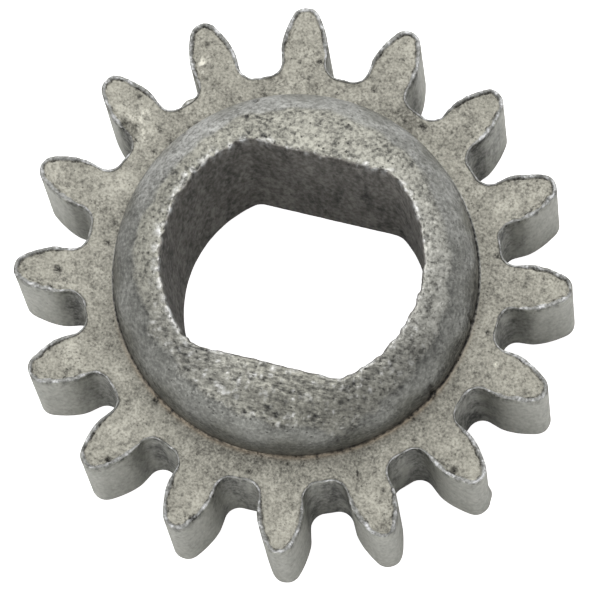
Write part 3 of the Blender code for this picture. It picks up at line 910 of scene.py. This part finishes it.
def powderGroup():
    # pressed powder: cloudy tone, grains and scattered open pores; height is the grain less the pores
    group, entry, leave = newGroup("pressedPowder",
        {"X": 1.0, "Y": 1.0, "Z": 1.0, "Cloud": 420.0, "Patch": 1600.0, "Grain": 6500.0, "Pore": 2600.0,
         "Pore Size": 0.24, "Pore Share": 0.45}, ["Tone", "Pores", "Height"])
    place = stretchedPlace(group, entry)
    cloud, patch, grain = (noiseTexture(group, *kind) for kind in ((2.0, 0.5), (3.0, 0.6), (2.0, 0.6)))
    pore = addNode(group, "ShaderNodeTexVoronoi", {"feature": "F1"}, {"Randomness": 1.0})
    for texture, scale in ((cloud, "Cloud"), (patch, "Patch"), (grain, "Grain"), (pore, "Pore")):
        join(group, (place, texture.inputs["Vector"]), (entry.outputs[scale], texture.inputs["Scale"]))
    tone = blend(group, cloud.outputs[0], patch.outputs[0], powderMix["patches"])
    tone = blend(group, tone, grain.outputs[0], powderMix["grains"])
    # a pore is the middle of a cell, and only some cells have one
    inside = addNode(group, "ShaderNodeMapRange", {"interpolation_type": "SMOOTHSTEP"},
                     {"From Min": 0.0, "To Min": 1.0, "To Max": 0.0})
    chance = addNode(group, "ShaderNodeSeparateColor")
    join(group, (pore.outputs["Distance"], inside.inputs["Value"]),
         (entry.outputs["Pore Size"], inside.inputs["From Max"]), (pore.outputs["Color"], chance.inputs[0]))
    there = mathNode(group, "LESS_THAN", chance.outputs[0], entry.outputs["Pore Share"])
    pores = mathNode(group, "MULTIPLY", inside.outputs["Result"], there)
    height = blend(group, patch.outputs[0], grain.outputs[0], powderMix["heightGrains"])
    height = mathNode(group, "SUBTRACT", height, pores)
    for end, result in (("Tone", tone), ("Pores", pores), ("Height", height)):
        join(group, (result, leave.inputs[end]))
    return group


def drawnGroup():
    # fine marks drawn out along one direction
    group, entry, leave = newGroup("drawnMarks", {"X": 1.0, "Y": 1.0, "Z": 0.06, "Across": 2600.0}, ["Mark"])
    streak = noiseTexture(group, 2.0, 0.6)
    join(group, (stretchedPlace(group, entry), streak.inputs["Vector"]),
         (entry.outputs["Across"], streak.inputs["Scale"]), (streak.outputs[0], leave.inputs["Mark"]))
    return group


def grainedMaskGroup():
    # a mask of dirt with painted shade, or of worn metal with painted highlights, that is stronger or weaker
    # on the dark grains than on the light ones
    group, entry, leave = newGroup("grainedMaskTree",
        {"Mask": 0.0, "Tone": 0.5, "On Dark": 1.0, "On Light": 1.0, "Strength": 1.0}, ["Worn"])
    share = mapRange(group, grainTones, (1.0, 1.0))
    for start, end in (("Tone", "Value"), ("On Dark", "To Min"), ("On Light", "To Max")):
        join(group, (entry.outputs[start], share.inputs[end]))
    mask = mathNode(group, "MULTIPLY", share.outputs["Result"], entry.outputs["Mask"])
    mask = mathNode(group, "MULTIPLY", mask, entry.outputs["Strength"], clamped=True)
    join(group, (mask, leave.inputs["Worn"]))
    return group


groups = {"powder": powderGroup(), "drawn": drawnGroup(), "grainMask": grainedMaskGroup()}


def colourRamp(tree, value, stops):
    ramp = addNode(tree, "ShaderNodeValToRGB")
    while len(ramp.color_ramp.elements) < len(stops):
        ramp.color_ramp.elements.new(0.5)
    for element, (position, colour) in zip(ramp.color_ramp.elements, stops):
        element.position, element.color = position, (*colour, 1)
    join(tree, (value, ramp.inputs["Fac"]))
    return ramp.outputs["Color"]


def tint(tree, base, colour, mask):
    # base turned towards one colour where the mask is high
    mix = addNode(tree, "ShaderNodeMix", {"data_type": "RGBA"})
    mix.inputs[7].default_value = (*colour, 1)
    join(tree, (mask, mix.inputs[0]), (base, mix.inputs[6]))
    return mix.outputs[2]


def field(tree, name):
    return addNode(tree, "ShaderNodeAttribute", {"attribute_name": name}).outputs["Fac"]


def grainedMask(tree, name, tone, onGrains, strength):
    mask = addNode(tree, "ShaderNodeGroup", {"node_tree": groups["grainMask"]},
                   {"On Dark": onGrains[0], "On Light": onGrains[1], "Strength": strength})
    join(tree, (field(tree, name), mask.inputs["Mask"]), (tone, mask.inputs["Tone"]))
    return mask.outputs["Worn"]


def newMaterial(name):
    material = bpy.data.materials.new(name)
    material.use_nodes = True
    return material, material.node_tree, material.node_tree.nodes["Principled BSDF"]


def metal(name, look):
    material, tree, shader = newMaterial(name)
    shader.inputs["Metallic"].default_value = look["metallic"]
    powder = addNode(tree, "ShaderNodeGroup", {"node_tree": groups["powder"]}, look["grain"])
    drawn = addNode(tree, "ShaderNodeGroup", {"node_tree": groups["drawn"]}, look["drawn"])
    dragged = mathNode(tree, "MULTIPLY", field(tree, "dragged"), look["drawnShare"], clamped=True)
    tone = blend(tree, powder.outputs["Tone"], drawn.outputs["Mark"], dragged)
    colour = colourRamp(tree, tone, look["colours"])
    if "crownColours" in look:
        mix = addNode(tree, "ShaderNodeMix", {"data_type": "RGBA"})
        join(tree, (field(tree, "crown"), mix.inputs[0]), (colour, mix.inputs[6]),
             (colourRamp(tree, tone, look["crownColours"]), mix.inputs[7]))
        colour = mix.outputs[2]
    rust = mathNode(tree, "MULTIPLY", field(tree, "rust"), look["rustShare"], clamped=True)
    pores = mathNode(tree, "MULTIPLY", powder.outputs["Pores"], look["poreDark"], clamped=True)
    # these masks paint worn metal with painted highlights, and dirt with painted shade, into the colour
    wearAndHighlight = grainedMask(tree, "wearAndHighlight", tone, look["wearAndHighlightOnGrains"], look["wearAndHighlight"])
    dirtAndShade = grainedMask(tree, "dirtAndShade", tone, look["dirtAndShadeOnGrains"], look["dirtAndShadeDark"])
    for name, mask in (("rust", rust), ("bright", wearAndHighlight), ("sootAndShade", pores), ("sootAndShade", dirtAndShade)):
        colour = tint(tree, colour, look[name], mask)
    rough = mapRange(tree, look["toneEnds"], look["rough"])
    bump = addNode(tree, "ShaderNodeBump", values={"Strength": look["bump"], "Distance": look["bumpHeight"]})
    height = blend(tree, powder.outputs["Height"], drawn.outputs["Mark"], dragged)
    join(tree, (tone, rough.inputs["Value"]), (rough.outputs["Result"], shader.inputs["Roughness"]),
         (colour, shader.inputs["Base Color"]), (height, bump.inputs["Height"]),
         (bump.outputs["Normal"], shader.inputs["Normal"]))
    return material


# "colours" runs from dark grains to light ones; "rough" is for dark and light grains; scales are per metre
everyLook = {
    "rust": (0.40, 0.33, 0.24), "rustShare": 0.7, "wearAndHighlight": 0.8, "dirtAndShadeDark": 0.8,
    "wearAndHighlightOnGrains": (0.25, 1.8), "dirtAndShadeOnGrains": (1.6, 0.5),  # how strong on dark and on light grains
    "toneEnds": (0.3, 0.7),  # the tones where "rough" begins and ends
    "bumpHeight": 0.05 * mm, "drawn": {"Across": 2600.0, "Z": 1.0}, "drawnShare": 0.0,
}
faceLook = {
    **everyLook, "metallic": 0.6, "rough": (0.66, 0.50), "bump": 0.7,
    "colours": [(0.33, (0.14, 0.133, 0.11)), (0.46, (0.30, 0.291, 0.248)), (0.63, (0.44, 0.427, 0.366))],
    "bright": (0.72, 0.70, 0.61), "sootAndShade": (0.035, 0.033, 0.028), "poreDark": 0.5,
    "grain": {"Cloud": 420.0, "Patch": 2200.0, "Grain": 7000.0,
              "Pore": 4200.0, "Pore Size": 0.27, "Pore Share": 0.30},
}
# the rim is rubbed, so it is greyer than the face, and brighter where it is worn bare and where glints are
# painted
rimLook = {
    **faceLook, "bright": (0.70, 0.705, 0.71),
    "colours": [(0.33, (0.14, 0.141, 0.135)), (0.46, (0.265, 0.266, 0.253)), (0.63, (0.42, 0.422, 0.405))],
}
hubLook = {
    **everyLook, "metallic": 0.85, "rough": (0.52, 0.34), "bump": 1.0, "bumpHeight": 0.08 * mm,
    "colours": [(0.34, (0.16, 0.161, 0.148)), (0.50, (0.24, 0.242, 0.222)), (0.66, (0.35, 0.352, 0.326))],
    "crownColours": [(0.375, (0.107, 0.106, 0.093)), (0.47, (0.258, 0.254, 0.220)),
                     (0.60, (0.408, 0.402, 0.348))],
    "rust": (0.40, 0.32, 0.22), "bright": (0.70, 0.70, 0.68), "wearAndHighlight": 0.75,
    "sootAndShade": (0.028, 0.028, 0.028), "poreDark": 0.55, "dirtAndShadeDark": 0.78,
    "grain": {"Cloud": 450.0, "Patch": 1800.0, "Grain": 4600.0,
              "Pore": 3600.0, "Pore Size": 0.28, "Pore Share": 0.32},
    "drawn": {"Across": 6500.0, "X": 0.33, "Z": 1.0}, "drawnShare": 0.35,
}
flankLook = {
    **everyLook, "metallic": 0.65, "rough": (0.56, 0.44), "bump": 0.30, "bumpHeight": 0.04 * mm,
    "colours": [(0.34, (0.26, 0.26, 0.23)), (0.50, (0.375, 0.375, 0.336)), (0.66, (0.48, 0.48, 0.434))],
    "bright": (0.75, 0.75, 0.72), "sootAndShade": (0.045, 0.045, 0.04), "poreDark": 0.5, "dirtAndShadeDark": 0.85,
    "grain": {"Z": 0.4, "Cloud": 300.0, "Patch": 1300.0, "Grain": 4600.0,
              "Pore": 2200.0, "Pore Size": 0.18, "Pore Share": 0.25},
    "drawn": {"Across": 2500.0, "Z": 0.04}, "drawnShare": 0.12,
}
backLook = {
    **everyLook, "metallic": 0.6, "rough": (0.65, 0.48), "bump": 0.5,
    "colours": [(0.34, (0.18, 0.176, 0.15)), (0.48, (0.32, 0.315, 0.272)), (0.66, (0.45, 0.44, 0.38))],
    "bright": (0.72, 0.72, 0.68), "sootAndShade": (0.04, 0.04, 0.035), "poreDark": 0.6,
    "grain": {"Cloud": 400.0, "Patch": 1800.0, "Grain": 5200.0,
              "Pore": 3000.0, "Pore Size": 0.24, "Pore Share": 0.32},
}
boreLook = {
    **everyLook, "metallic": 0.65, "rough": (0.62, 0.46), "bump": 0.6,
    "colours": [(0.36, (0.113, 0.108, 0.096)), (0.50, (0.238, 0.227, 0.207)), (0.64, (0.42, 0.40, 0.368))],
    "bright": (0.72, 0.73, 0.73), "wearAndHighlight": 0.75, "sootAndShade": (0.02, 0.02, 0.018), "poreDark": 0.75,
    "grain": {"Z": 0.4, "Cloud": 420.0, "Patch": 1500.0, "Grain": 4000.0,
              "Pore": 1900.0, "Pore Size": 0.22, "Pore Share": 0.40},
    "drawn": {"Across": 2500.0, "Z": 0.06}, "drawnShare": 0.08,
}

for name, look in (("toothedFace", faceLook), ("hubMetal", hubLook), ("flankMetal", flankLook),
                   ("backMetal", backLook), ("boreMetal", boreLook), ("rimMetal", rimLook)):
    piece.data.materials.append(metal(name, look))
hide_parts("spur_gear")
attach(piece, "root")
print("gear finished")


# half a side in metres; the sheet glows for the camera, so that it looks as white as in the photo
sheet = {"halfSide": 1.5, "drop": 0.02 * mm, "grey": 0.86, "rough": 0.8, "glow": 0.92}


def paleFloor():
    size = sheet["halfSide"]
    mesh = bpy.data.meshes.new("paleSheet")
    corners = [(-size, -size, 0), (size, -size, 0), (size, size, 0), (-size, size, 0)]
    mesh.from_pydata(corners, [], [(0, 1, 2, 3)])
    floor = newObject("paleSheet", mesh)
    floor.location.z = -sheet["drop"]
    material, tree, shader = newMaterial("paleSheet")
    shader.inputs["Base Color"].default_value = (sheet["grey"],) * 3 + (1,)
    shader.inputs["Roughness"].default_value = sheet["rough"]
    shader.inputs["Emission Color"].default_value = (1, 1, 1, 1)
    seen = addNode(tree, "ShaderNodeLightPath")
    glow = mathNode(tree, "MULTIPLY", seen.outputs["Is Camera Ray"], sheet["glow"])
    join(tree, (glow, shader.inputs["Emission Strength"]))
    mesh.materials.append(material)


# where each light stands, how wide and high it is in metres, and its power in watts
lights = {
    "topBox": ((-0.05, 0.12, 0.60), (0.45, 0.40), 0.85),
    "farBox": ((-0.10, 0.48, 0.26), (0.55, 0.30), 0.55),
    "frontBox": ((-0.15, -0.48, 0.20), (0.50, 0.30), 0.80),
}
# the room is brighter towards one side; the lights aim at the middle of the gear
room = {
    "brightSide": (-0.25, 0.70, 0.66),
    "fade": (-0.35, 0.95),  # cosines between which it brightens
    "strength": (0.40, 1.10),
    "aim": (0, 0, 0.008),
}


def softLight(name, place, size, power):
    lamp = bpy.data.lights.new(name, "AREA")
    lamp.shape = "RECTANGLE"
    lamp.size, lamp.size_y = size
    lamp.energy = power
    light = newObject(name, lamp)
    light.location = place
    light.rotation_euler = (Vector(room["aim"]) - Vector(place)).to_track_quat("-Z", "Y").to_euler()
    light.visible_camera = False


def studio():
    world = bpy.data.worlds.new("softRoom")
    world.use_nodes = True
    tree = world.node_tree
    sky = tree.nodes["Background"]
    sky.inputs["Color"].default_value = (1, 1, 1, 1)
    way = addNode(tree, "ShaderNodeTexCoord")
    lean = addNode(tree, "ShaderNodeVectorMath", {"operation": "DOT_PRODUCT"})
    lean.inputs[1].default_value = room["brightSide"]
    fade = mapRange(tree, room["fade"], room["strength"], {"interpolation_type": "SMOOTHSTEP"})
    join(tree, (way.outputs["Generated"], lean.inputs[0]), (lean.outputs["Value"], fade.inputs["Value"]),
         (fade.outputs["Result"], sky.inputs["Strength"]))
    bpy.context.scene.world = world
    for name, (place, size, power) in lights.items():
        softLight(name, place, size, power)
    bpy.context.scene.view_settings.view_transform = "Standard"
    bpy.context.scene.view_settings.look = "None"


paleFloor()
studio()
print("floor and light placed")
